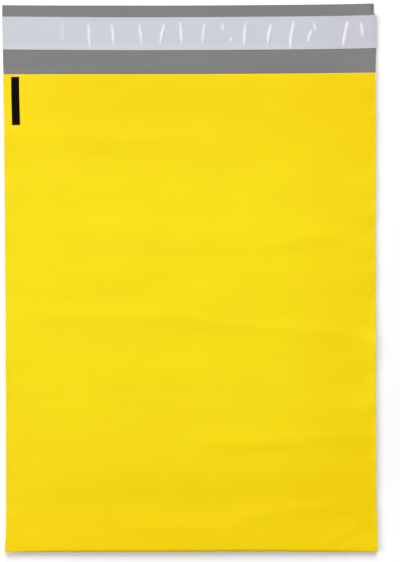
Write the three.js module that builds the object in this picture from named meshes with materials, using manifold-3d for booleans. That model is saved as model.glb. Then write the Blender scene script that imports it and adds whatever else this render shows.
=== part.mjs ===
// Poly mailer bag, empty and lying on its back panel.
//
// One web of polyethylene film is folded across the bottom, so that its short leg is the front
// panel and its long leg is the back panel and the closing lip. A hot knife then cuts the sides,
// and the two layers melt together there into a narrow weld with a bead along its edge. The lip
// carries a band of hot-melt adhesive under a strip of release liner, both cut with the film.
//
// Millimetres. +X runs across the bag, +Y from the fold to the lip, +Z up. The bag lies on z = 0,
// and the origin is on that plane under the middle of its outline.
import * as THREE from "three";
import { mergeVertices } from "three/addons/utils/BufferGeometryUtils.js";
import Module from "manifold-3d";

// Cut sizes of the bag
const BAG_WIDTH = 305; // over the side welds
const PANEL_LENGTH = 390; // front panel, from the bottom fold to the mouth
const LIP_LENGTH = 56.3; // back panel beyond the mouth
const FILM = 0.0635; // film gauge, 2.5 mil

// Side welds
const BEAD_RADIUS = 0.2; // melt drawn back into a bead on the cut edge
const WELD_WIDTH = 1; // fused width behind the cut
const WELD_GAP = 0.06; // melt between the two films

// Adhesive band and release liner on the lip
const LINER_INSET = 9.3; // from the lip's free edge to the liner
const LINER_WIDTH = 26.8;
const LINER = 0.05; // liner gauge
const ADHESIVE_WIDTH = 17; // leaves a dry edge on each side, for a finger to lift
const ADHESIVE = 0.05;
const ADHESIVE_SHOULDER = 0.4; // the squeezed band thins out over this width

// How the empty bag lies
const LOFT = 4; // clear height inside, where the slack films stand apart
const MOUTH_GAP = 1; // clear height inside, at the middle of the mouth
const SIDE_RUN = 45; // width over which the panels close to a side weld
const MOUTH_RUN = 80; // length over which the pouch thins out to the mouth
const LINER_CLEAR = 5; // the lip lies flat from this far before the liner on

// Facets
const SIDE_STEPS = 9;
const MOUTH_STEPS = 9;
const LIP_STEPS = 3;
const FOLD_STEPS = 8;
const BEAD_STEPS = 6;
const BEAD_END = Math.PI / 12; // the bead's outermost facet spans this angle to each side

const X_CUT = BAG_WIDTH / 2 - BEAD_RADIUS * Math.cos(BEAD_END); // where every layer is cut
const X_SEAM = X_CUT - WELD_WIDTH - BEAD_RADIUS; // the films lie parallel from here to the cut
const X_FLAT = X_SEAM - SIDE_RUN; // full loft between here and the other side
const Y_FOLD = -(PANEL_LENGTH + LIP_LENGTH) / 2;
const Y_MOUTH = Y_FOLD + PANEL_LENGTH;
const Y_LIP = Y_MOUTH + LIP_LENGTH;
const Y_POUCH = Y_MOUTH - MOUTH_RUN; // full loft from here to the fold
const Y_LINER = Y_LIP - LINER_INSET - LINER_WIDTH / 2; // middle of the liner and the adhesive
const Y_FLAT = Y_LINER - LINER_WIDTH / 2 - LINER_CLEAR; // the lip lies flat from here on

// Height of the back film's underside along a side weld: half the loft in the pouch, and at the
// mouth as much as lets the bead rest on the table.
const SEAM_FLOAT = (LOFT - WELD_GAP) / 2;
const SEAM_REST = BEAD_RADIUS - FILM - WELD_GAP / 2;

const { lerp, smoothstep } = THREE.MathUtils;

const steps = (from, to, count) =>
  Array.from({ length: count + 1 }, (_, i) => lerp(from, to, i / count));

// 0 at the mouth, 1 where the pouch has its full loft.
const pouchShare = (y) => smoothstep(Y_MOUTH - y, 0, MOUTH_RUN);

// 0 along the welds, 1 between the side runs.
const acrossShare = (x) => smoothstep(X_SEAM - Math.abs(x), 0, SIDE_RUN);

const seamLift = (y) =>
  y > Y_MOUTH
    ? SEAM_REST * smoothstep(Y_FLAT - y, 0, Y_FLAT - Y_MOUTH)
    : lerp(SEAM_REST, SEAM_FLOAT, pouchShare(y));

// Height of the middle of the back film.
const backHeight = (x, y) => FILM / 2 + seamLift(y) * (1 - acrossShare(x));

// Clear height between the two films.
const gapHeight = (x, y) => lerp(WELD_GAP, lerp(MOUTH_GAP, LOFT, pouchShare(y)), acrossShare(x));

// Height of the middle of the front film.
const frontHeight = (x, y) => backHeight(x, y) + FILM + gapHeight(x, y);

// Section of the web at x, from the mouth round the fold to the lip's free edge, as pairs of
// points on its inner and outer face.
function webSection(x) {
  const radius = (FILM + gapHeight(x, Y_FOLD)) / 2;
  const foldY = Y_FOLD + FILM / 2 + radius;
  const foldZ = backHeight(x, Y_FOLD) + radius;
  const faces = [-FILM / 2, FILM / 2];
  const front = steps(Y_MOUTH, Y_POUCH, MOUTH_STEPS);
  const fold = steps(Math.PI / 2, (3 * Math.PI) / 2, FOLD_STEPS);
  const back = steps(Y_POUCH, Y_MOUTH, MOUTH_STEPS);
  const lip = [...steps(Y_MOUTH, Y_FLAT, LIP_STEPS).slice(1), Y_LIP];
  const point = (y, z) => new THREE.Vector3(x, y, z);
  const onArc = (a, r) => point(foldY + r * Math.cos(a), foldZ + r * Math.sin(a));
  return [
    ...front.map((y) => faces.map((f) => point(y, frontHeight(x, y) + f))),
    ...fold.map((a) => faces.map((f) => onArc(a, radius + f))),
    ...[...back, ...lip].map((y) => faces.map((f) => point(y, backHeight(x, y) - f))),
  ];
}

// Closed solid through a row of sections. A section is a thin strip, given as pairs of points
// that face each other across it.
function loftStrips(sections) {
  const pairs = sections[0].length;
  const last = sections.length - 1;
  const at = (section, pair, side) => (section * pairs + pair) * 2 + side;
  const index = [];
  const quad = (a, b, c, d) => index.push(a, b, c, a, c, d);
  for (let p = 0; p < pairs - 1; p++) {
    for (let s = 0; s < last; s++) {
      quad(at(s, p, 0), at(s + 1, p, 0), at(s + 1, p + 1, 0), at(s, p + 1, 0));
      quad(at(s, p, 1), at(s, p + 1, 1), at(s + 1, p + 1, 1), at(s + 1, p, 1));
    }
    quad(at(0, p, 0), at(0, p + 1, 0), at(0, p + 1, 1), at(0, p, 1));
    quad(at(last, p, 0), at(last, p, 1), at(last, p + 1, 1), at(last, p + 1, 0));
  }
  for (let s = 0; s < last; s++) {
    quad(at(s, 0, 0), at(s, 0, 1), at(s + 1, 0, 1), at(s + 1, 0, 0));
    const p = pairs - 1;
    quad(at(s, p, 0), at(s + 1, p, 0), at(s + 1, p, 1), at(s, p, 1));
  }
  return new THREE.BufferGeometry().setFromPoints(sections.flat(2)).setIndex(index);
}

// The folded web, lofted from the cut at -X to the cut at +X.
function foldedWeb() {
  const stations = [
    -X_CUT,
    ...steps(-X_SEAM, -X_FLAT, SIDE_STEPS),
    ...steps(X_FLAT, X_SEAM, SIDE_STEPS),
    X_CUT,
  ];
  return loftStrips(stations.map(webSection));
}

// Weld of one side, from the fold to the mouth: the fused width between the two films, and the
// bead round their cut edges. The fused width starts and ends halfway into each film, and at the
// fold too, so that the union closes the pouch.
function sideWeld(side) {
  const half = (FILM + WELD_GAP) / 2;
  const neck = Math.PI - Math.asin(half / BEAD_RADIUS);
  const bead = steps(neck, BEAD_END, BEAD_STEPS).map((a) => [Math.cos(a), Math.sin(a)]);
  const profile = [[-WELD_WIDTH, half], ...bead.map(([c, s]) => [BEAD_RADIUS * c, BEAD_RADIUS * s])];
  const stations = [Y_FOLD + FILM / 2, ...steps(Y_POUCH, Y_MOUTH, MOUTH_STEPS)];
  const section = (y) => {
    const middle = backHeight(X_CUT, y) + half;
    return profile.map(([u, v]) =>
      [-v, v].map((h) => new THREE.Vector3(side * (X_CUT + u), y, middle + side * h)),
    );
  };
  return loftStrips(stations.map(section));
}

// A band that runs from one cut side to the other, with its section given as (y, z).
function bandAcross(section) {
  const shape = new THREE.Shape(section.map(([y, z]) => new THREE.Vector2(y, z)));
  const band = new THREE.ExtrudeGeometry(shape, { depth: 2 * X_CUT, bevelEnabled: false });
  // The shape's x and y become the bag's y and z, and its depth runs along x.
  const turn = new THREE.Matrix4().makeBasis(
    new THREE.Vector3(0, 1, 0),
    new THREE.Vector3(0, 0, 1),
    new THREE.Vector3(1, 0, 0),
  );
  return band.applyMatrix4(turn).translate(-X_CUT, 0, 0);
}

// Hot-melt band, squeezed flat between the film and the liner, thin at both edges.
function adhesiveBand() {
  const half = ADHESIVE_WIDTH / 2;
  return bandAcross([
    [Y_LINER - half, FILM],
    [Y_LINER + half, FILM],
    [Y_LINER + half, FILM + ADHESIVE / 2],
    [Y_LINER + half - ADHESIVE_SHOULDER, FILM + ADHESIVE],
    [Y_LINER - half + ADHESIVE_SHOULDER, FILM + ADHESIVE],
    [Y_LINER - half, FILM + ADHESIVE / 2],
  ]);
}

function releaseLiner() {
  const half = LINER_WIDTH / 2;
  const under = FILM + ADHESIVE;
  return bandAcross([
    [Y_LINER - half, under],
    [Y_LINER + half, under],
    [Y_LINER + half, under + LINER],
    [Y_LINER - half, under + LINER],
  ]);
}

const wasm = await Module();
wasm.setup();

function toSolid(geometry) {
  const bare = geometry.clone();
  bare.deleteAttribute("normal");
  bare.deleteAttribute("uv");
  const merged = mergeVertices(bare);
  const vertProperties = new Float32Array(merged.attributes.position.array);
  const triVerts = new Uint32Array(merged.index.array);
  return new wasm.Manifold(new wasm.Mesh({ numProp: 3, vertProperties, triVerts }));
}

function toGeometry(solid) {
  const mesh = solid.getMesh();
  const geometry = new THREE.BufferGeometry()
    .setAttribute("position", new THREE.BufferAttribute(mesh.vertProperties, 3))
    .setIndex(new THREE.BufferAttribute(mesh.triVerts, 1))
    .toNonIndexed();
  geometry.computeVertexNormals();
  return geometry;
}

// The bag's film: the folded web with both side welds.
function mailerFilm() {
  const welds = [-1, 1].map((side) => toSolid(sideWeld(side)));
  return toGeometry(welds.reduce((whole, weld) => whole.add(weld), toSolid(foldedWeb())));
}

const FILM_YELLOW = new THREE.MeshStandardMaterial({ color: "#f5d81b", roughness: 0.4, metalness: 0 });
const HOT_MELT = new THREE.MeshStandardMaterial({ color: "#e8e2cc", roughness: 0.3, metalness: 0 });
const LINER_WHITE = new THREE.MeshStandardMaterial({ color: "#ced2da", roughness: 0.25, metalness: 0 });

const pieces = [
  ["mailer_film", mailerFilm(), FILM_YELLOW],
  ["adhesive_band", adhesiveBand(), HOT_MELT],
  ["release_liner", releaseLiner(), LINER_WHITE],
];

const bag = new THREE.Group();
for (const [name, geometry, material] of pieces) {
  const mesh = new THREE.Mesh(geometry, material);
  mesh.name = name;
  bag.add(mesh);
}

export default bag;
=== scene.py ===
# %% [markdown]
# # A poly mailer bag, empty and lying flat
#
# The bag is one web of plastic film, folded at the bottom and welded along both sides, with a
# band of adhesive and a release liner on its lip. Nearly all of it is sheet, thinner than a hair,
# so the lesson is about sheets: where the film lies, how it waves, and how light runs over it.
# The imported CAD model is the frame. Each piece below takes the place of one of its solids.

# %% Load the frame
import math

import bpy
import numpy as np
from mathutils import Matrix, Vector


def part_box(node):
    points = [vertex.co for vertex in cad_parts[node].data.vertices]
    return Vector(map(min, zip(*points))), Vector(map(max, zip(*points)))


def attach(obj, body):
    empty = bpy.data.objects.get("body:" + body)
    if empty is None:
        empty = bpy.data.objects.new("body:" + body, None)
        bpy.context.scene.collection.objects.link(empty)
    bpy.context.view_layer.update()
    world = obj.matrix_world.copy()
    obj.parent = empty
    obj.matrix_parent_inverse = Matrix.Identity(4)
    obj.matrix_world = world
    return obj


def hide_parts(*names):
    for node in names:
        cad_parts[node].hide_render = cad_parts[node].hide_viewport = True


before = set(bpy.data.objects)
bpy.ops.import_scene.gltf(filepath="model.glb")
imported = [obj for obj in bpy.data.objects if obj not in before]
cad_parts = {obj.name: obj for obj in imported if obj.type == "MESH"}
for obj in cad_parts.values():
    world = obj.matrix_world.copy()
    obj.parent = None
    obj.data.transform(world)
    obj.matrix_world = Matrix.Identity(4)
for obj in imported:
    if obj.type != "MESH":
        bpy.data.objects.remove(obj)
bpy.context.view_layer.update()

film_low, film_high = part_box("mailer_film")
glue_low, glue_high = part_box("adhesive_band")
liner_low, liner_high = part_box("release_liner")

# %% [markdown]
# ## Units and driving sizes
#
# Blender works in metres and a bag maker in millimetres, so every size is written times `mm`.
# The CAD solids give the outer sizes. Only what they can't say is written here: how long the lip
# is, and how thick the layers are.

# %% Sizes of the bag
mm = 0.001

BEAD = 0.2 * mm  # radius of the melted bead on the side welds
FILM = 0.0635 * mm  # 2.5 mil film
GLUE = 0.05 * mm
LINER = 0.05 * mm
LIP = 56.3 * mm  # back panel beyond the mouth

X_CUT = film_high.x - BEAD  # the hot knife's cut
Y_FOLD = film_low.y
Y_LIP = film_high.y
Y_MOUTH = Y_LIP - LIP
PANEL = Y_MOUTH - Y_FOLD
LINER_TOP = liner_high.y
print(f"panel {PANEL / mm:.0f} mm long, lip {LIP / mm:.1f} mm, half width {X_CUT / mm:.1f} mm")

# %% [markdown]
# ## Camera
#
# The photograph looks straight down on the bag. A real camera is never quite square to the
# table, and this one leans by about half a degree, which is why the bag's right side is a touch
# longer than its left. The lens is long, so the picture is nearly free of perspective.

# %% Camera
CAMERA_PLACE = (11.8 * mm, 9.0 * mm, 1200 * mm)
CAMERA_LEAN = (-0.530, 0.188, -0.196)  # degrees about X, Y and Z
LENS = 94.2  # millimetres, for a 36 mm long side

camera_data = bpy.data.cameras.new("camera")
camera_data.lens = LENS
camera = bpy.data.objects.new("camera", camera_data)
camera.location = CAMERA_PLACE
camera.rotation_euler = [math.radians(a) for a in CAMERA_LEAN]
bpy.context.collection.objects.link(camera)
bpy.context.scene.camera = camera
print("camera", tuple(round(c, 3) for c in camera.location))

# %% [markdown]
# ## Helpers for materials
#
# Colours are written as the hex values that a paint program shows. Blender mixes light, so it
# wants linear values, and one function turns the one into the other. A second function adds a
# node, with its settings and the links that come into it. That is all a node tree needs.
#
# An input goes by its name, or by its number where several share a name. A Map Range node takes
# the value as 0, the range it comes from as 1 and 2, and the range it goes to as 3 and 4. A Mix
# node takes the share as 0 and its two colours as 6 and 7.


# %% Colour and node helpers
def linear(hex_colour):
    """Linear RGBA of an sRGB hex colour such as "#f5d81b"."""
    parts = [int(hex_colour[i : i + 2], 16) / 255 for i in (1, 3, 5)]
    return [c / 12.92 if c <= 0.04045 else ((c + 0.055) / 1.055) ** 2.4 for c in parts] + [1.0]


def add(tree, kind, links=None, **settings):
    """Adds a node. links maps an input to a value or to an output socket."""
    node = tree.nodes.new("ShaderNode" + kind)
    for name, value in settings.items():
        setattr(node, name, value)
    for key, source in (links or {}).items():
        if isinstance(source, bpy.types.NodeSocket):
            tree.links.new(source, node.inputs[key])
        else:
            node.inputs[key].default_value = source
    return node


def new_material(name):
    """An empty material and its node tree."""
    material = bpy.data.materials.new(name)
    material.use_nodes = True
    material.node_tree.nodes.clear()
    return material, material.node_tree


print("mid grey in linear light:", round(linear("#808080")[0], 3))

# %% [markdown]
# ## Table, backdrop and light
#
# The bag lies on a white table under two large softboxes, one past its top edge and one to its
# left. Light from there leaves the shadow on the right and at the bottom. The world fills in the
# rest at about a quarter of the light, so that a colour renders about as it is written.
#
# A white table that is lit at a plain level renders light grey. Its material therefore adds a
# little emission, but only for rays that come straight from the camera, or by way of a gloss or a
# glass. The light that falls on the bag stays as it is, and the shadow stays too. The emission
# grows with the distance from the middle of the bag, so that the table stays white where the
# softboxes are further off, and meets the backdrop in white.

# %% Table and backdrop
TABLE_RADIUS = 8.0
TABLE_SIDES = 64
WALL_HEIGHT = 5.0
TABLE_WHITE = "#f8f8f8"
TABLE_LIFT = 0.06  # emission that brings the lit table up to white
FAR_LIFT = 0.9  # the same, far from the bag
LIFT_START, LIFT_END = 0.22, 1.2  # the emission grows between these distances, in metres


def seen_directly(tree):
    """1 for a ray from the camera, or by way of gloss or glass, and 0 for diffuse light."""
    path = add(tree, "LightPath")
    seen = path.outputs["Is Camera Ray"]
    for ray in ("Is Glossy Ray", "Is Transmission Ray"):
        seen = add(tree, "Math", {0: seen, 1: path.outputs[ray]}, operation="MAXIMUM").outputs[0]
    return seen


def white_table():
    material, tree = new_material("table_matt_white_board")
    board = add(tree, "BsdfDiffuse", {"Color": linear(TABLE_WHITE)})
    place = add(tree, "TexCoord")
    distance = add(tree, "VectorMath", {0: place.outputs["Object"]}, operation="LENGTH")
    level = add(
        tree,
        "MapRange",
        {0: distance.outputs["Value"], 1: LIFT_START, 2: LIFT_END, 3: TABLE_LIFT, 4: FAR_LIFT},
    )
    lift = add(tree, "Math", {0: seen_directly(tree), 1: level.outputs[0]}, operation="MULTIPLY")
    glow = add(tree, "Emission", {"Strength": lift.outputs[0]})
    both = add(tree, "AddShader", {0: board.outputs[0], 1: glow.outputs[0]})
    add(tree, "OutputMaterial", {"Surface": both.outputs[0]})
    return material


def white_wall():
    material, tree = new_material("backdrop_white_paper")
    glow = add(tree, "Emission", {"Strength": seen_directly(tree)})
    add(tree, "OutputMaterial", {"Surface": glow.outputs[0]})
    return material


def stage_piece(name, verts, faces, material):
    mesh = bpy.data.meshes.new(name)
    mesh.from_pydata(verts, [], faces)
    mesh.materials.append(material)
    piece = bpy.data.objects.new(name, mesh)
    bpy.context.collection.objects.link(piece)
    return piece


turns = np.linspace(0, 2 * math.pi, TABLE_SIDES + 1)[:-1]
ring = [(TABLE_RADIUS * math.cos(a), TABLE_RADIUS * math.sin(a)) for a in turns]
stage_piece("table", [(x, y, 0) for x, y in ring], [list(range(TABLE_SIDES))], white_table())
corners = [(i, (i + 1) % TABLE_SIDES) for i in range(TABLE_SIDES)]
wall = stage_piece(
    "backdrop",
    [(x, y, z) for z in (0, WALL_HEIGHT) for x, y in ring],
    [(a, b, b + TABLE_SIDES, a + TABLE_SIDES) for a, b in corners],
    white_wall(),
)
wall.visible_diffuse = False
wall.visible_shadow = False
print("table radius", TABLE_RADIUS, "m")

# %% Lights
WORLD_LEVEL = 0.24
SOFTBOXES = {
    # name: place in metres, width and height in metres, share of a full level at the bag
    "softbox_top": ((0.0, 4.9, 3.4), (3.6, 3.3), 0.55),
    "softbox_left": ((-4.8, 0.4, 3.5), (3.6, 3.2), 0.31),
}

world = bpy.data.worlds.new("studio")
bpy.context.scene.world = world
world.use_nodes = True
world.node_tree.nodes["Background"].inputs["Color"].default_value = (1, 1, 1, 1)
world.node_tree.nodes["Background"].inputs["Strength"].default_value = WORLD_LEVEL

for name, (place, (width, height), share) in SOFTBOXES.items():
    light = bpy.data.lights.new(name, "AREA")
    light.shape = "RECTANGLE"
    light.size = width
    light.size_y = height
    distance = math.dist(place, (0, 0, 0))
    # A lamp of P watts that faces the bag lights it by P * cosine / (pi * distance squared), and
    # a full level is pi. The cosine is the lamp's height over its distance.
    light.energy = share * math.pi**2 * distance**3 / place[2]
    lamp = bpy.data.objects.new(name, light)
    lamp.location = place
    lamp.rotation_euler = lamp.location.to_track_quat("Z", "Y").to_euler()
    lamp.visible_camera = False
    bpy.context.collection.objects.link(lamp)
    print(name, f"{light.energy:.0f} W at {distance:.2f} m")

bpy.context.scene.view_settings.view_transform = "Standard"

# %% [markdown]
# ## Waves in film
#
# Film has no weave to bend with. It buckles: in short puckers where a weld has shrunk, in long
# soft waves where it was folded in its stack. Both look random but have a clear spacing. A smooth
# random curve with one bump per spacing makes them, and a seed makes it the same curve each time.
# The last number that a wave is given is its seed.

# %% Random waves
KNOTS = 256  # random heights drawn for a wave, more than any wave here runs through
FIRST_KNOT = 64  # the knot at place 0, so that a place may be negative


def smooth(t):
    """0 to 1 with a soft start and a soft end."""
    t = np.clip(t, 0, 1)
    return t * t * (3 - 2 * t)


def rise(value, start, end):
    """0 before the start, 1 after the end, and smooth between them."""
    return smooth((value - start) / (end - start))


def curve(points, place):
    """A smooth curve through (place, value) points."""
    value = np.full_like(place, points[0][1])
    for (a, low), (b, high) in zip(points, points[1:]):
        value = value + (high - low) * rise(place, a, b)
    return value


def waves(place, spacing, seed):
    """Random waves along a line, from -1 to 1, with a bump or a hollow every `spacing`."""
    knots = np.random.default_rng(seed).uniform(-1, 1, KNOTS)
    step = np.asarray(place) / spacing + FIRST_KNOT
    first = np.floor(step).astype(int)
    share = smooth(step - first)
    return knots[first % KNOTS] * (1 - share) + knots[(first + 1) % KNOTS] * share


def mottle(x, y, spacing_x, spacing_y, seed):
    """Random waves in two directions, from -1 to 1."""
    knots = np.random.default_rng(seed).uniform(-1, 1, (KNOTS, KNOTS))
    step_x = np.asarray(x) / spacing_x + FIRST_KNOT
    step_y = np.asarray(y) / spacing_y + FIRST_KNOT
    i, j = np.floor(step_x).astype(int), np.floor(step_y).astype(int)
    share_x, share_y = smooth(step_x - i), smooth(step_y - j)
    i, j = i % (KNOTS - 1), j % (KNOTS - 1)
    low = knots[i, j] * (1 - share_x) + knots[i + 1, j] * share_x
    high = knots[i, j + 1] * (1 - share_x) + knots[i + 1, j + 1] * share_x
    return low * (1 - share_y) + high * share_y


print("a wave every 30 mm:", waves(np.arange(4) * 15 * mm, 30 * mm, 1).round(2))

# %% [markdown]
# ## Where the film lies in plan
#
# Cut flat, the bag is a rectangle. Lying loose it isn't quite: the slack takes a little of its
# width, so the sides bow in between the fold and the mouth, and the free edge of the lip sags
# by nearly a millimetre in the middle. The lip's right corner has curled down to the table,
# which draws it in a little more. Seen from above, that corner is only a darker sliver.

# %% Plan of the bag
LEFT_SIDE = (
    # distance from the fold, how far the side bows in
    (0, 0.6 * mm),
    (20 * mm, 1.45 * mm),
    (165 * mm, 1.85 * mm),
    (300 * mm, 1.5 * mm),
    (345 * mm, 1.25 * mm),
    (390 * mm, 0.5 * mm),
    (402 * mm, 0.1 * mm),
    (440 * mm, -0.3 * mm),
)
RIGHT_SIDE = (
    (0, 0.8 * mm),
    (70 * mm, 1.85 * mm),
    (250 * mm, 1.9 * mm),
    (320 * mm, 1.45 * mm),
    (390 * mm, 1.15 * mm),
    (410 * mm, 0.75 * mm),
    (440 * mm, 0.4 * mm),
)
SIDE_WAVE = 0.12 * mm  # the knife's cut wanders by this much
LIP_SAG = 0.8 * mm
SAG_REACH = 220 * mm  # the sag dies out this far below the mouth
FOLD_RISE = 0.5 * mm  # the fold line runs a little higher on the left
FOLD_REACH = 60 * mm  # which dies out this far up the bag
CURL_WIDTH = 6 * mm  # the lip's right corner curls down over this width
CURL_DRAW = 2.2 * mm  # which draws it in by this much in plan
CURL_DROP = 0.9  # share of the lip's height that is gone at the corner


def corner_curl(across, y, start=-1 * mm, end=3 * mm):
    """0 on the flat lip, up to 1 at its right corner.

    It runs from `start` to `end`, as seen from the liner's edge, because the liner holds the lip.
    """
    sideways = rise(across * X_CUT, X_CUT - CURL_WIDTH, X_CUT + 2 * mm)
    return sideways * rise(y, LINER_TOP + start, LINER_TOP + end)


def plan(across, y, curled=1):
    """Plan place of a film point. across runs from -1 at the left cut to 1 at the right cut."""
    across, y = np.broadcast_arrays(across, np.asarray(y, dtype=float))
    from_fold = y - Y_FOLD
    left, right = curve(LEFT_SIDE, from_fold), curve(RIGHT_SIDE, from_fold)
    pull = right * (1 + across) / 2 - left * (1 - across) / 2
    # The right side is moved on along its wave, so that the two sides differ.
    side_wave = SIDE_WAVE * across * waves(y + 300 * mm * (across > 0), 24 * mm, 11)
    sag = LIP_SAG * (1 - across**2) * rise(y, Y_MOUTH - SAG_REACH, Y_LIP)
    draw = CURL_DRAW * curled * corner_curl(across, y, -2.5 * mm, 2.5 * mm)
    fold_line = FOLD_RISE * (1 - rise(across, 0.3, 0.8)) * (1 - rise(from_fold, 0, FOLD_REACH))
    return across * X_CUT - pull + side_wave - draw, y - sag + fold_line


print(f"the left side bows in by up to {max(bow for _, bow in LEFT_SIDE) / mm:.2f} mm")

# %% [markdown]
# ## How high the film lies
#
# The back panel rests on the table, but the side welds hang two or three millimetres above it,
# halfway between the two panels, and the fold springs up a little as well. The front panel
# floats over the back panel on the air that is left inside. These heights are functions of
# place, so that front, back, beads and liner all agree with each other at every point.
#
# A cloth simulation could find such a shape too, but not the very one in the photograph, and no
# point here lies more than 5 mm above the table. So the heights are written down as functions.

# %% Height of the back panel
SEAM_LEVEL = {-1: 2.3 * mm, 1: 2.7 * mm}  # how high the left and the right weld hang
SEAM_WAVE = 0.45 * mm
SEAM_AT_FOLD = {-1: 0.3 * mm, 1: -0.8 * mm}  # the bottom corners: left one up, right one down
SEAM_ON_LIP = {-1: 0.15, 1: 0.85}  # share of that height that is left on the lip
SEAM_REACH = 30 * mm  # width over which a panel comes up to a side weld
PUCKER_STRENGTH = {-1: 1.0, 1: 1.9}  # the right weld has shrunk more
PUCKERS = (
    # spacing along the weld, reach into the panel, height
    (6.5 * mm, 6 * mm, 0.10 * mm),
    (13 * mm, 13 * mm, 0.20 * mm),
    (29 * mm, 30 * mm, 0.26 * mm),
)
REST = 0.02 * mm  # what the film keeps off the table where it rests
RIPPLE = 0.10 * mm  # soft ripples of the resting film
FOLD_LIFT = 1.35 * mm
FOLD_WAVE = 0.35 * mm
LIP_LOOSE = 0.45 * mm  # waves of the lip's free edge
LIP_DROOP = 0.5 * mm  # the lip's right edge hangs down by this much


def from_side(x, side):
    """Distance from the left cut for side -1, and from the right cut for side 1."""
    return X_CUT - side * x


def seam_height(y, side):
    """Height of the weld's underside."""
    wave = SEAM_WAVE * waves(y, 42 * mm, 20 + side)
    corner = SEAM_AT_FOLD[side] * (1 - rise(y - Y_FOLD, 0, 90 * mm))
    on_lip = SEAM_ON_LIP[side]
    share = on_lip + (1 - on_lip) * rise(Y_MOUTH + 14 * mm - y, 0, 75 * mm)
    return (SEAM_LEVEL[side] + wave + corner) * share


def puckers(x, y, side, seed):
    """Short waves that a shrunken weld leaves beside it: fine at the weld, coarser further in."""
    d = from_side(x, side)
    total = 0
    for i, (spacing, reach, height) in enumerate(PUCKERS):
        # Further in, the waves lean up or down the panel.
        fan = y + 0.25 * d * waves(y, 70 * mm, seed + 50 + i)
        total = total + height * waves(fan, spacing, seed + 10 * i + side) * np.exp(-d / reach)
    return PUCKER_STRENGTH[side] * total


def soft_floor(z, blend):
    """z, but never below 0, with a soft turn."""
    return 0.5 * (z + np.sqrt(z * z + blend * blend)) - 0.1 * blend


def in_pouch(y):
    """1 in the pouch, and 0 on the lip, which has no weld to pucker."""
    return rise(Y_MOUTH + 10 * mm - y, 0, 25 * mm)


def lip_wave(x, y):
    """The lip ripples under its liner, and its free edge is loose."""
    beyond = rise(y, Y_MOUTH - 5 * mm, Y_MOUTH + 15 * mm)
    free = rise(y, LINER_TOP - 8 * mm, Y_LIP)
    small = RIPPLE * (1 + waves(x, 19 * mm, 31))
    loose = LIP_LOOSE * (1 + waves(x, 65 * mm, 32)) * free
    return beyond * (small + loose)


def back_height(x, y):
    """Height of the back panel's underside."""
    z = REST + RIPPLE * (1 + mottle(x, y, 60 * mm, 22 * mm, 41))
    for side in (-1, 1):
        lift = seam_height(y, side) + puckers(x, y, side, 60) * in_pouch(y)
        z = z + lift * np.exp(-((from_side(x, side) / SEAM_REACH) ** 1.5) * 2)
    fold_lift = (FOLD_LIFT + FOLD_WAVE * waves(x, 85 * mm, 42)) * (1 - rise(y - Y_FOLD, 0, 45 * mm))
    droop = LIP_DROOP * np.exp(-from_side(x, 1) / (5 * mm))
    droop = droop * rise(y, Y_MOUTH - 20 * mm, Y_MOUTH + 10 * mm)
    z = soft_floor(z + fold_lift + lip_wave(x, y) - droop, 0.1 * mm)
    return z * (1 - CURL_DROP * corner_curl(x / X_CUT, y))


print("the welds hang at", [round(z / mm, 1) for z in SEAM_LEVEL.values()], "mm, left and right")

# %% Height of the front panel
WELD_GAP = 0.06 * mm
WELD_WIDTH = 1.2 * mm  # the panels part this far from the cut
PARTING = 22 * mm  # and come to their full distance over about this width
LOFT = (
    # distance from the fold, clear height inside the pouch
    (0, 3.0 * mm),
    (70 * mm, 3.6 * mm),
    (190 * mm, 3.3 * mm),
    (310 * mm, 2.4 * mm),
    (PANEL, 3.0 * mm),
)
CREASES = (
    # left end (x, distance from the fold), right end, height, half width
    ((-150 * mm, 198 * mm), (135 * mm, 180 * mm), 0.34 * mm, 6 * mm),
    ((10 * mm, 90 * mm), (150 * mm, 95 * mm), 0.46 * mm, 7 * mm),
    ((-150 * mm, 66 * mm), (150 * mm, 68 * mm), 0.40 * mm, 17 * mm),
    ((-150 * mm, 343 * mm), (-20 * mm, 338 * mm), 0.18 * mm, 6 * mm),
    ((40 * mm, 30 * mm), (150 * mm, 44 * mm), 0.40 * mm, 8 * mm),
    ((-60 * mm, 22 * mm), (30 * mm, 16 * mm), 0.26 * mm, 5 * mm),
    ((60 * mm, 250 * mm), (150 * mm, 262 * mm), 0.26 * mm, 6 * mm),
    ((-90 * mm, 262 * mm), (60 * mm, 255 * mm), 0.18 * mm, 12 * mm),
    ((105 * mm, 4 * mm), (152 * mm, 34 * mm), 0.36 * mm, 6 * mm),
    ((120 * mm, -2 * mm), (152 * mm, 16 * mm), 0.45 * mm, 4 * mm),
)
CREASE_WANDER = 2.5 * mm
SLACK = 0.17 * mm  # soft waves of the slack panel
FINE_SLACK = 0.06 * mm
MOUTH_WAVE = 0.5 * mm
MOUTH_DIP = 0.12 * mm  # the mouth's cut edge turns down a little


def creases(x, from_fold):
    """Soft waves that stay where the bag was folded in its stack."""
    z = np.zeros_like(x)
    for n, ((x1, f1), (x2, f2), height, width) in enumerate(CREASES):
        share = (x - x1) / (x2 - x1)
        ends = rise(share, -0.15, 0.15) * rise(1 - share, -0.15, 0.15)
        line = f1 + (f2 - f1) * share + CREASE_WANDER * waves(x, 55 * mm, 200 + n)
        z = z + height * ends * np.exp(-(((from_fold - line) / width) ** 2))
    return z


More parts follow.
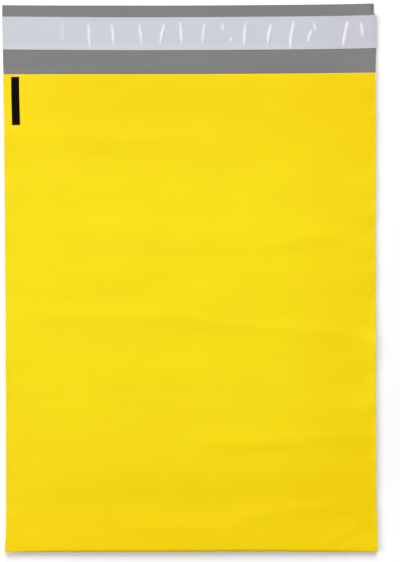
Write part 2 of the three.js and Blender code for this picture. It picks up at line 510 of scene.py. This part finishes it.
def gap_height(x, y):
    """Clear height between the two panels."""
    below_mouth = Y_MOUTH - y
    d = np.minimum(from_side(x, -1), from_side(x, 1))
    inside = 1 - np.exp(-((np.maximum(d - WELD_WIDTH, 0) / PARTING) ** 1.3))
    slack = SLACK * mottle(x, y, 70 * mm, 19 * mm, 43)
    slack = slack + FINE_SLACK * mottle(x, y, 24 * mm, 9 * mm, 44)
    at_weld = 0
    for side in (-1, 1):
        at_weld = at_weld + puckers(x, y, side, 80) * (1 - np.exp(-from_side(x, side) / (3 * mm)))
    rim = MOUTH_DIP * np.exp(-below_mouth / (0.7 * mm))
    mouth = MOUTH_WAVE * waves(x, 75 * mm, 45) * np.exp(-below_mouth / (28 * mm))
    from_fold = y - Y_FOLD
    loose = curve(LOFT, from_fold) + creases(x, from_fold) + slack + mouth
    return WELD_GAP + soft_floor(inside * loose + at_weld - rim, 0.05 * mm)


print(f"{len(CREASES)} creases, and up to {max(z for _, z in LOFT) / mm:.1f} mm clear inside")

# %% [markdown]
# ## The film as one closed sheet
#
# The web runs down the front panel, round the fold and up the back panel to the lip. A grid of
# points along that path is its outer face, and a second grid one film thickness away is its inner
# face. Rows and columns are set closer where the film bends more. Faces round the rim close the
# sheet, so that it is a solid with a real thickness, as a printer or a solver would want it.


# %% Grid tools
def spread(*stretches):
    """Places along a line: each stretch is (start, end, number of steps)."""
    parts = [np.linspace(a, b, n, endpoint=False) for a, b, n in stretches]
    return np.concatenate(parts + [[stretches[-1][1]]])


def held(places, near):
    """Adds a place close to each end: a holding loop for the cut edge.

    Smooth shading turns from the sheet to its cut edge over the last row of faces. A row that is
    as narrow as the film is thick keeps that turn where it belongs, and without it the whole last
    row would shine.
    """
    start, end = places[0], places[-1]
    step = near * np.sign(end - start)
    return np.concatenate([[start, start + step], places[1:-1], [end - step, end]])


def sheet_faces(rows, columns):
    """Faces of a thin closed sheet: outer face, inner face and rim.

    The second half of the sheet's points are its inner face.
    """
    index = np.arange(rows * columns).reshape(rows, columns)
    inner = index + rows * columns

    def quads(a, b, c, d):
        return np.stack([d.ravel(), c.ravel(), b.ravel(), a.ravel()], axis=1)

    outer_faces = quads(index[:-1, :-1], index[:-1, 1:], index[1:, 1:], index[1:, :-1])
    inner_faces = quads(inner[:-1, :-1], inner[1:, :-1], inner[1:, 1:], inner[:-1, 1:])
    rims = [
        quads(index[0, 1:], index[0, :-1], inner[0, :-1], inner[0, 1:]),
        quads(index[-1, :-1], index[-1, 1:], inner[-1, 1:], inner[-1, :-1]),
        quads(index[:-1, 0], index[1:, 0], inner[1:, 0], inner[:-1, 0]),
        quads(index[1:, -1], index[:-1, -1], inner[:-1, -1], inner[1:, -1]),
    ]
    return outer_faces, inner_faces, np.concatenate(rims)


def layer_points(x, y, top, bottom):
    """Points of a layer that lies flat: its upper face, then its lower face."""
    return np.concatenate([np.stack([x, y, z], axis=2) for z in (top, bottom)]).reshape(-1, 3)


def build(name, points, face_groups, materials, flat=None):
    """Makes a piece from groups of (faces, material index).

    flat holds each point's place on the uncut sheet.
    """
    faces = np.concatenate([group for group, _ in face_groups])
    material_of = np.concatenate([np.full(len(group), m) for group, m in face_groups])
    mesh = bpy.data.meshes.new(name)
    mesh.from_pydata(points.tolist(), [], faces.tolist())
    for material in materials:
        mesh.materials.append(material)
    mesh.polygons.foreach_set("material_index", material_of.astype(np.int32))
    mesh.polygons.foreach_set("use_smooth", np.ones(len(faces), dtype=bool))
    if flat is not None:
        layer = mesh.uv_layers.new(name="flat")
        vertex_of = np.empty(len(mesh.loops), dtype=np.int32)
        mesh.loops.foreach_get("vertex_index", vertex_of)
        layer.data.foreach_set("uv", flat[vertex_of].astype(np.float32).ravel())
    mesh.update()
    piece = bpy.data.objects.new(name, mesh)
    bpy.context.collection.objects.link(piece)
    print(name, len(mesh.vertices), "points,", sum(len(f) - 2 for f in faces), "triangles")
    return piece


print("a sheet of 3 by 3 points has", sum(len(faces) for faces in sheet_faces(3, 3)), "faces")

# %% Points of the film
FOLD_STEPS = 13
NOSE = 1.5  # the fold's section is an ellipse, this much longer than it is high
HOLD = 0.06 * mm  # from a cut edge to its holding loop

columns = held(spread((-1, -0.9, 12), (-0.9, 0.85, 84), (0.85, 1, 20)), HOLD / X_CUT)
near_mouth, near_lip = Y_MOUTH - 3 * mm, Y_MOUTH - 4 * mm  # rows are closer above these places
front_rows = held(spread((Y_MOUTH, near_mouth, 6), (near_mouth, Y_FOLD, 178)), HOLD)[:-2]
back_rows = held(spread((Y_FOLD, near_lip, 96), (near_lip, Y_LIP, 34)), HOLD)[2:]


def film_point(across, y):
    """Plan place, height of the back panel's underside, and the gap above the back panel."""
    across, y = np.broadcast_arrays(across, y)
    x = across * X_CUT
    return *plan(across, y), back_height(x, y), gap_height(x, y)


def film_grid():
    """Outer and inner points of the web, from the mouth round the fold to the lip's edge."""
    outer, inner = [], []
    _, _, _, fold_gap = film_point(columns, np.full_like(columns, Y_FOLD))
    nose = NOSE * (fold_gap / 2 + FILM)  # length of the fold's round part
    for y in front_rows:
        # Rows near the fold stop where its round part starts.
        row_y = np.maximum(y, Y_FOLD) + nose * (Y_MOUTH - y) / PANEL
        x, plan_y, under, gap = film_point(columns, row_y)
        outer.append(np.stack([x, plan_y, under + 2 * FILM + gap], axis=1))
        inner.append(np.stack([x, plan_y, under + FILM + gap], axis=1))
    x, start_y, under, gap = film_point(columns, Y_FOLD + nose)
    middle = under + FILM + gap / 2
    for angle in np.linspace(math.pi / 2, 3 * math.pi / 2, FOLD_STEPS):
        for points, r in ((outer, gap / 2 + FILM), (inner, gap / 2)):
            arc_y, arc_z = start_y + NOSE * r * math.cos(angle), middle + r * math.sin(angle)
            points.append(np.stack([x, arc_y, arc_z], axis=1))
    for y in back_rows:
        row_y = y + nose * (Y_LIP - y) / (Y_LIP - Y_FOLD)
        x, plan_y, under, _ = film_point(columns, row_y)
        outer.append(np.stack([x, plan_y, under], axis=1))
        inner.append(np.stack([x, plan_y, under + FILM], axis=1))
    return np.array(outer), np.array(inner)


outer, inner = film_grid()
row_steps = np.linalg.norm(np.diff(outer[:, len(columns) // 2], axis=0), axis=1)
along = np.concatenate([[0], np.cumsum(row_steps)])  # length of web from the mouth
print(f"web {along[-1] / mm:.1f} mm long over {len(along)} rows, {len(columns)} columns")

# %% [markdown]
# ## The side welds
#
# A hot knife cuts the bag from the web, and the melt draws back into a bead along each side. It is
# a thin tube round the cut line, so it is made as one, and joined to the film's mesh.

# %% Beads of the side welds
BEAD_SIDES = 8
BEAD_ROWS = 190
BEAD_LUMPS = 0.15  # the bead's radius varies by this share


def bead(side):
    """Points and faces of one bead, a closed tube from the mouth to the fold."""
    y = np.linspace(Y_MOUTH, Y_FOLD + BEAD, BEAD_ROWS)
    x, plan_y, under, gap = film_point(np.full_like(y, side), y)
    z = under + FILM + gap / 2
    angles = np.arange(BEAD_SIDES) * 2 * math.pi / BEAD_SIDES
    radius = BEAD * (1 + BEAD_LUMPS * waves(y, 4 * mm, 15 + side))
    points = np.stack(
        [
            x[:, None] + radius[:, None] * np.cos(angles),
            np.repeat(plan_y[:, None], BEAD_SIDES, axis=1),
            z[:, None] + radius[:, None] * np.sin(angles),
        ],
        axis=2,
    )
    index = np.arange(BEAD_ROWS * BEAD_SIDES).reshape(BEAD_ROWS, BEAD_SIDES)
    turned = np.roll(index, -1, axis=1)
    walls = np.stack([index[:-1], turned[:-1], turned[1:], index[1:]], axis=2).reshape(-1, 4)
    # A fan of quads caps each end of the tube.
    caps = [
        [loop[0], loop[n], loop[n + 1], loop[n + 2]]
        for loop in (index[0, ::-1], index[-1])
        for n in range(1, BEAD_SIDES - 1, 2)
    ]
    return points.reshape(-1, 3), np.concatenate([walls, caps])


print("bead", round(BEAD / mm, 2), "mm in radius")

# %% [markdown]
# ## Film material: co-extruded polyethylene, blown and rolled
#
# The outside is pigmented yellow and the inside grey, both in one film. Polyethylene has an index
# of refraction of 1.51. Blown film isn't glossy like cast film: its surface is very finely rough,
# so highlights are broad and soft. The eye sees a strong even colour, a soft sheen, and faint
# lines along the way the film ran through the machine, which on this bag is from side to side.
# The die that made it leaves fine bands where film and colour are a little thicker.
#
# The black bar near the mouth is ink on the film, so it is a mask in the same material. Its place
# is measured on the flat film, which the mesh carries as a UV layer, so it bends with the film.

# %% Film materials
YELLOW = "#f6df0c"
YELLOW_DEEP_AND_SHADED = "#f5d200"  # random thicker film, and painted shade
GREY = "#828182"
GREY_THICK = "#7e7d7e"
INK = "#080301"
INK_ROUGHNESS = 0.18  # ink dries glossier than the film
FILM_IOR = 1.51
FILM_ROUGHNESS = 0.46
FILM_ROUGHNESS_SPREAD = 0.03
GREY_ROUGHNESS = 0.42
FILM_GLOSS = 0.2  # specular level, lowered for slip agent that blooms to the surface
DIE_LINE = 9 * mm  # real die lines are about 1 mm apart, drawn wider so that they show
DIE_LINE_LENGTH = 160 * mm  # a line fades in or out over about this length
DIE_LINE_RELIEF = 0.002 * mm
GRAINS_PER_METRE = 900.0  # a grain of about 1.1 mm
GRAIN_RELIEF = 0.003 * mm
CLOUDS_PER_METRE = 28.0  # clouds in the colour, about 36 mm across
NOISE_LOW, NOISE_HIGH = 0.3, 0.7  # nearly all of a noise texture lies between these
BAR_LEFT = 6.25 * mm  # from the left cut to the printed bar
BAR_WIDTH = 6.7 * mm
BAR_TOP = 2.0 * mm  # from the mouth
BAR_LENGTH = 39.2 * mm
BAR_EDGE = 0.12 * mm  # softness of the ink's edge


def film_lines(tree):
    """The flat film's coordinates in metres, and random lines across the bag, 0 to 1."""
    flat = add(tree, "UVMap", uv_map="flat").outputs[0]
    per_line = (1 / DIE_LINE_LENGTH, 1 / DIE_LINE, 1)
    stretched = add(tree, "VectorMath", {0: flat, 1: per_line}, operation="MULTIPLY").outputs[0]
    lines = add(
        tree, "TexNoise", {"Vector": stretched, "Scale": 1.0, "Detail": 1.0, "Roughness": 0.4}
    )
    return flat, lines.outputs["Fac"]


def film_bump(tree, lines):
    """Normal of the film's fine relief: die lines, and a grain like very fine orange peel."""
    place = add(tree, "TexCoord").outputs["Object"]
    grain = add(tree, "TexNoise", {"Vector": place, "Scale": GRAINS_PER_METRE, "Detail": 2.0})
    normal = add(
        tree, "Bump", {"Height": lines, "Distance": DIE_LINE_RELIEF, "Strength": 0.4}
    ).outputs[0]
    relief = {"Height": grain.outputs["Fac"], "Distance": GRAIN_RELIEF, "Strength": 0.5}
    return add(tree, "Bump", {**relief, "Normal": normal}).outputs[0]


def box_mask(tree, coordinate, low, high, soft):
    """1 between low and high, with edges as soft as given."""
    up = add(tree, "MapRange", {0: coordinate, 1: low - soft, 2: low + soft, 3: 0.0, 4: 1.0})
    down = add(tree, "MapRange", {0: coordinate, 1: high - soft, 2: high + soft, 3: 1.0, 4: 0.0})
    both = {0: up.outputs[0], 1: down.outputs[0]}
    return add(tree, "Math", both, operation="MULTIPLY").outputs[0]


def yellow_film():
    material, tree = new_material("polyethylene_film_yellow")
    flat, lines = film_lines(tree)
    across, down, _ = add(tree, "SeparateXYZ", {0: flat}).outputs
    cloud = add(
        tree,
        "TexNoise",
        {"Vector": flat, "Scale": CLOUDS_PER_METRE, "Detail": 4.0, "Roughness": 0.55},
    ).outputs["Fac"]
    # Painted shade: the colour deepens towards the fold, the mouth and the right side, where
    # less light falls. Clouds and die lines vary it at random. Each row adds to the share of the
    # deeper colour: a coordinate, from where to where, and what it adds at both.
    shares = (
        ("SMOOTHSTEP", down, 0.24, 0.40, 0.15, 0.95),  # painted shade towards the fold
        ("SMOOTHSTEP", down, 0.0, 0.10, 0.6, 0.0),  # painted shade towards the mouth
        ("SMOOTHSTEP", across, 0.21, 0.29, 0.0, 0.45),  # painted shade towards the right side
        ("LINEAR", cloud, NOISE_LOW, NOISE_HIGH, -0.14, 0.14),
        ("LINEAR", lines, NOISE_LOW, NOISE_HIGH, -0.02, 0.02),
    )
    total = 0.0
    for kind, coordinate, start, end, low, high in shares:
        ends = {0: coordinate, 1: start, 2: end, 3: low, 4: high}
        share = add(tree, "MapRange", ends, interpolation_type=kind).outputs[0]
        total = add(tree, "Math", {0: total, 1: share}, operation="ADD").outputs[0]
    film_colour = add(
        tree, "Mix", {0: total, 6: linear(YELLOW), 7: linear(YELLOW_DEEP_AND_SHADED)}, data_type="RGBA"
    ).outputs[2]
    sideways = box_mask(tree, across, BAR_LEFT, BAR_LEFT + BAR_WIDTH, BAR_EDGE)
    lengthways = box_mask(tree, down, BAR_TOP, BAR_TOP + BAR_LENGTH, BAR_EDGE)
    bar = add(tree, "Math", {0: sideways, 1: lengthways}, operation="MULTIPLY").outputs[0]
    printed = add(tree, "Mix", {0: bar, 6: film_colour, 7: linear(INK)}, data_type="RGBA").outputs[2]
    smoothest = FILM_ROUGHNESS - FILM_ROUGHNESS_SPREAD
    roughest = FILM_ROUGHNESS + FILM_ROUGHNESS_SPREAD
    satin = add(
        tree, "MapRange", {0: lines, 1: NOISE_LOW, 2: NOISE_HIGH, 3: smoothest, 4: roughest}
    ).outputs[0]
    rough = add(tree, "MapRange", {0: bar, 1: 0.0, 2: 1.0, 3: satin, 4: INK_ROUGHNESS}).outputs[0]
    shader = add(
        tree,
        "BsdfPrincipled",
        {
            "Base Color": printed,
            "Roughness": rough,
            "IOR": FILM_IOR,
            "Specular IOR Level": FILM_GLOSS,
            "Normal": film_bump(tree, lines),
        },
    )
    add(tree, "OutputMaterial", {"Surface": shader.outputs[0]})
    return material


def grey_film():
    material, tree = new_material("polyethylene_film_grey")
    _, lines = film_lines(tree)
    tone = add(tree, "MapRange", {0: lines, 1: NOISE_LOW, 2: NOISE_HIGH, 3: 0.0, 4: 1.0}).outputs[0]
    film_colour = add(
        tree, "Mix", {0: tone, 6: linear(GREY), 7: linear(GREY_THICK)}, data_type="RGBA"
    ).outputs[2]
    shader = add(
        tree,
        "BsdfPrincipled",
        {
            "Base Color": film_colour,
            "Roughness": GREY_ROUGHNESS,
            "IOR": FILM_IOR,
            "Specular IOR Level": FILM_GLOSS,
            "Normal": film_bump(tree, lines),
        },
    )
    add(tree, "OutputMaterial", {"Surface": shader.outputs[0]})
    return material


print("yellow", YELLOW, "outside and grey", GREY, "inside, roughness", FILM_ROUGHNESS)

# %% Build the film
outer_faces, inner_faces, rim_faces = sheet_faces(*outer.shape[:2])
points = [outer.reshape(-1, 3), inner.reshape(-1, 3)]
groups = [(outer_faces, 0), (inner_faces, 1), (rim_faces, 0)]
from_left = np.broadcast_to((columns + 1) * X_CUT, outer.shape[:2])
from_mouth = np.broadcast_to(along[:, None], outer.shape[:2])
sheet_flat = np.stack([from_left, from_mouth], axis=2).reshape(-1, 2)
flat = [sheet_flat, sheet_flat]
for side in (-1, 1):
    bead_points, bead_faces = bead(side)
    groups.append((bead_faces + sum(len(p) for p in points), 0))
    points.append(bead_points)
    bead_across = np.full(len(bead_points), (side + 1) * X_CUT)
    flat.append(np.stack([bead_across, Y_MOUTH - bead_points[:, 1]], axis=1))

film_materials = [yellow_film(), grey_film()]
film = build("film_bag", np.concatenate(points), groups, film_materials, np.concatenate(flat))
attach(film, "root")
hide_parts("mailer_film")

# %% [markdown]
# ## Adhesive band
#
# The adhesive is a rubbery hot melt, rolled on in a band under the liner. Only its ends and a
# sliver where the liner lifts can ever be seen. It is a thin layer, so it is a sheet like the
# film, and it has the film's own columns, so that it lies on the film without a gap.

# %% Build the adhesive band
GLUE_THIN = "#ddd5b8"
GLUE_THICK = "#ece6cf"
GLUE_ROUGHNESS = 0.22
GLUE_IOR = 1.49
DIMPLES_PER_METRE = 220.0  # a dimple every 4.5 mm
DIMPLE_DEPTH = 0.02 * mm

glue_middle = (glue_low.y + glue_high.y) / 2
glue_half = (glue_high.y - glue_low.y) / 2


def lip_top(across, y):
    """Plan place on the lip, and the height of its upper face."""
    across, y = np.broadcast_arrays(across, y)
    return *plan(across, y, curled=0), back_height(np.clip(across, -1, 1) * X_CUT, y) + FILM


def glue_material():
    material, tree = new_material("hot_melt_adhesive")
    place = add(tree, "TexCoord").outputs["Object"]
    flow = add(tree, "TexNoise", {"Vector": place, "Scale": DIMPLES_PER_METRE, "Detail": 2.0})
    flow = flow.outputs["Fac"]
    tone = add(
        tree, "Mix", {0: flow, 6: linear(GLUE_THIN), 7: linear(GLUE_THICK)}, data_type="RGBA"
    )
    dimples = add(tree, "Bump", {"Height": flow, "Distance": DIMPLE_DEPTH, "Strength": 0.8})
    shader = add(
        tree,
        "BsdfPrincipled",
        {
            "Base Color": tone.outputs[2],
            "Roughness": GLUE_ROUGHNESS,
            "IOR": GLUE_IOR,
            "Normal": dimples.outputs[0],
        },
    )
    add(tree, "OutputMaterial", {"Surface": shader.outputs[0]})
    return material


glue_rows = held(spread((glue_high.y, glue_low.y, 8)), HOLD)
x, y, z = lip_top(columns, glue_rows[:, None])
glue_groups = [(faces, 0) for faces in sheet_faces(*x.shape)]
glue = build("hot_melt_band", layer_points(x, y, z + GLUE, z), glue_groups, [glue_material()])
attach(glue, "root")
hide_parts("adhesive_band")

# %% [markdown]
# ## Release liner
#
# The liner over the adhesive is a white siliconised film, glossier than the bag, and it holds on
# only where there is adhesive. When the bag bends, the liner can't shorten with it, so it pops up
# in short ridges right across the band. Each ridge turns one flank to the softbox on the left,
# and that flank is the glint. The ridges are set one by one where the photograph shows them.

# %% Ridges of the liner
RIDGES = (
    # in mm: x, y of the middle from the band's middle, slant (x per y), height, half width, length
    (-103.2, 0.0, -0.05, 0.16, 1.1, 18),
    (-81.5, -2.5, -0.10, 0.40, 1.0, 23),
    (-62.3, -1.5, -0.06, 0.50, 1.0, 18),
    (-39.8, -1.5, -0.08, 0.42, 1.0, 19),
    (-22.2, -1.5, 0.17, 0.60, 1.1, 18),
    (-6.7, -1.0, -0.12, 0.58, 1.1, 18),
    (11.3, -1.5, 0.17, 0.52, 1.0, 18),
    (26.8, 4.0, -0.10, 0.30, 1.2, 8),
    (33.4, -7.0, 0.05, 0.42, 1.0, 5),
    (45.2, -2.0, 0.12, 0.54, 1.1, 21),
    (65.2, -1.5, 0.22, 0.56, 1.0, 18),
    (83.5, -2.5, 0.08, 0.70, 1.2, 24),
    (102.2, 4.0, -0.12, 0.46, 1.0, 8),
    (97.8, -4.0, 0.30, 0.50, 1.1, 11),
    (127.0, -1.8, 0.20, 0.66, 1.2, 21),
    (140.0, 1.5, -0.15, 0.40, 1.0, 14),
)
RIDGE_WANDER = 0.5 * mm


def ridges(x, y):
    """How far the liner stands off the adhesive."""
    z = np.zeros_like(x)
    for n, (x0, y0, slant, height, width, length) in enumerate(RIDGES):
        from_middle = y - glue_middle - y0 * mm
        t = from_middle / (length * mm / 2)
        line = x0 * mm + slant * from_middle + RIDGE_WANDER * waves(y, 6 * mm, 90 + n)
        taper = np.clip(1 - t * t, 0, 1) ** 0.7 * (1 + 0.25 * waves(y, 4 * mm, 70 + n))
        half_width = width * mm * (0.6 + 0.4 * taper)
        z = z + height * mm * taper * np.exp(-(((x - line) / half_width) ** 2))
    return z


print(len(RIDGES), "ridges, up to", max(ridge[3] for ridge in RIDGES), "mm high")

# %% Build the release liner
LINER_WHITE = "#ccd0d8"
LINER_OVER_GLUE = "#c9cdd6"  # the adhesive wets it, and the grey film shows through a little
LINER_SHADED_END = "#c5c5d0"  # painted shade: darker towards its right end
LINER_LIFTED = "#e4e6ec"  # air behind a ridge makes it whiter
LINER_ROUGHNESS = 0.24
LINER_IOR = 1.51
SHADE_START, SHADE_END = 0.22, 0.30  # metres from the left end, over which the painted shade comes in
WET_EDGE = 0.6 * mm  # softness of the wetted band's edges
PATCHES_PER_METRE = 60.0  # patches of wetting, about 17 mm across
PATCH_RELIEF = 0.05 * mm
LINER_OVERHANG = (0.1 * mm, 0.5 * mm)  # left and right: the cut film shrinks back more
LINER_DRIFT = 0.3 * mm  # the strip drifts this much towards the mouth, past its left end
LINER_GAP = 0.01 * mm  # clear of the adhesive where it lies closest
DRY_EDGE_CURL = 0.10 * mm  # beyond the adhesive its edges curl up by about this much


def liner_material():
    material, tree = new_material("siliconised_film_white")
    flat = add(tree, "UVMap", uv_map="flat").outputs[0]
    across, down, _ = add(tree, "SeparateXYZ", {0: flat}).outputs
    middle = LINER_TOP - glue_middle
    wetted = box_mask(tree, down, middle - glue_half, middle + glue_half, WET_EDGE)
    cloud = add(tree, "TexNoise", {"Vector": flat, "Scale": PATCHES_PER_METRE, "Detail": 3.0})
    cloud = cloud.outputs["Fac"]
    patch = add(tree, "MapRange", {0: cloud, 1: 0.35, 2: 0.65, 3: 0.5, 4: 1.0})
    wet = add(tree, "Math", {0: wetted, 1: patch.outputs[0]}, operation="MULTIPLY")
    # Painted shade: the liner's colour darkens towards its right end.
    end_shade = add(
        tree,
        "MapRange",
        {0: across, 1: SHADE_START, 2: SHADE_END, 3: 0.0, 4: 1.0},
        interpolation_type="SMOOTHSTEP",
    )
    lift = add(tree, "Attribute", attribute_name="lift").outputs["Fac"]
    air = add(tree, "MapRange", {0: lift, 1: 0.0, 2: 0.3, 3: 0.0, 4: 1.0})
    tone = linear(LINER_WHITE)
    for share, colour in ((wet, LINER_OVER_GLUE), (end_shade, LINER_SHADED_END), (air, LINER_LIFTED)):
        tones = {0: share.outputs[0], 6: tone, 7: linear(colour)}
        tone = add(tree, "Mix", tones, data_type="RGBA").outputs[2]
    relief = add(tree, "Bump", {"Height": cloud, "Distance": PATCH_RELIEF, "Strength": 0.5})
    shader = add(
        tree,
        "BsdfPrincipled",
        {
            "Base Color": tone,
            "Roughness": LINER_ROUGHNESS,
            "IOR": LINER_IOR,
            "Normal": relief.outputs[0],
        },
    )
    add(tree, "OutputMaterial", {"Surface": shader.outputs[0]})
    return material


liner_columns = held(spread((-1, 1, 500)), HOLD / X_CUT)
liner_rows = held(spread((liner_high.y, liner_low.y, 30)), HOLD)
overhang = np.where(liner_columns < 0, *LINER_OVERHANG) / X_CUT
drift = LINER_DRIFT * rise(liner_columns, -0.9, -0.3)
x, y, z = lip_top(liner_columns * (1 + overhang), liner_rows[:, None] - drift)
stand_off = ridges(x, y)
dry_edge = np.abs(y - glue_middle) - glue_half
curl = DRY_EDGE_CURL * rise(dry_edge, 0, 5 * mm) * (1 + 0.6 * waves(x, 14 * mm, 33))
under = z + GLUE + LINER_GAP + stand_off + curl
liner_flat = np.stack(
    np.broadcast_arrays((liner_columns + 1) * X_CUT, (LINER_TOP - liner_rows)[:, None]), axis=2
)
liner = build(
    "release_liner_strip",
    layer_points(x, y, under + LINER, under),
    [(faces, 0) for faces in sheet_faces(*x.shape)],
    [liner_material()],
    flat=np.concatenate([liner_flat, liner_flat]).reshape(-1, 2),
)
lift = liner.data.attributes.new("lift", "FLOAT", "POINT")
lift_mm = np.concatenate([stand_off, stand_off]).ravel() / mm
lift.data.foreach_set("value", lift_mm.astype(np.float32))
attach(liner, "root")
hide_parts("release_liner")
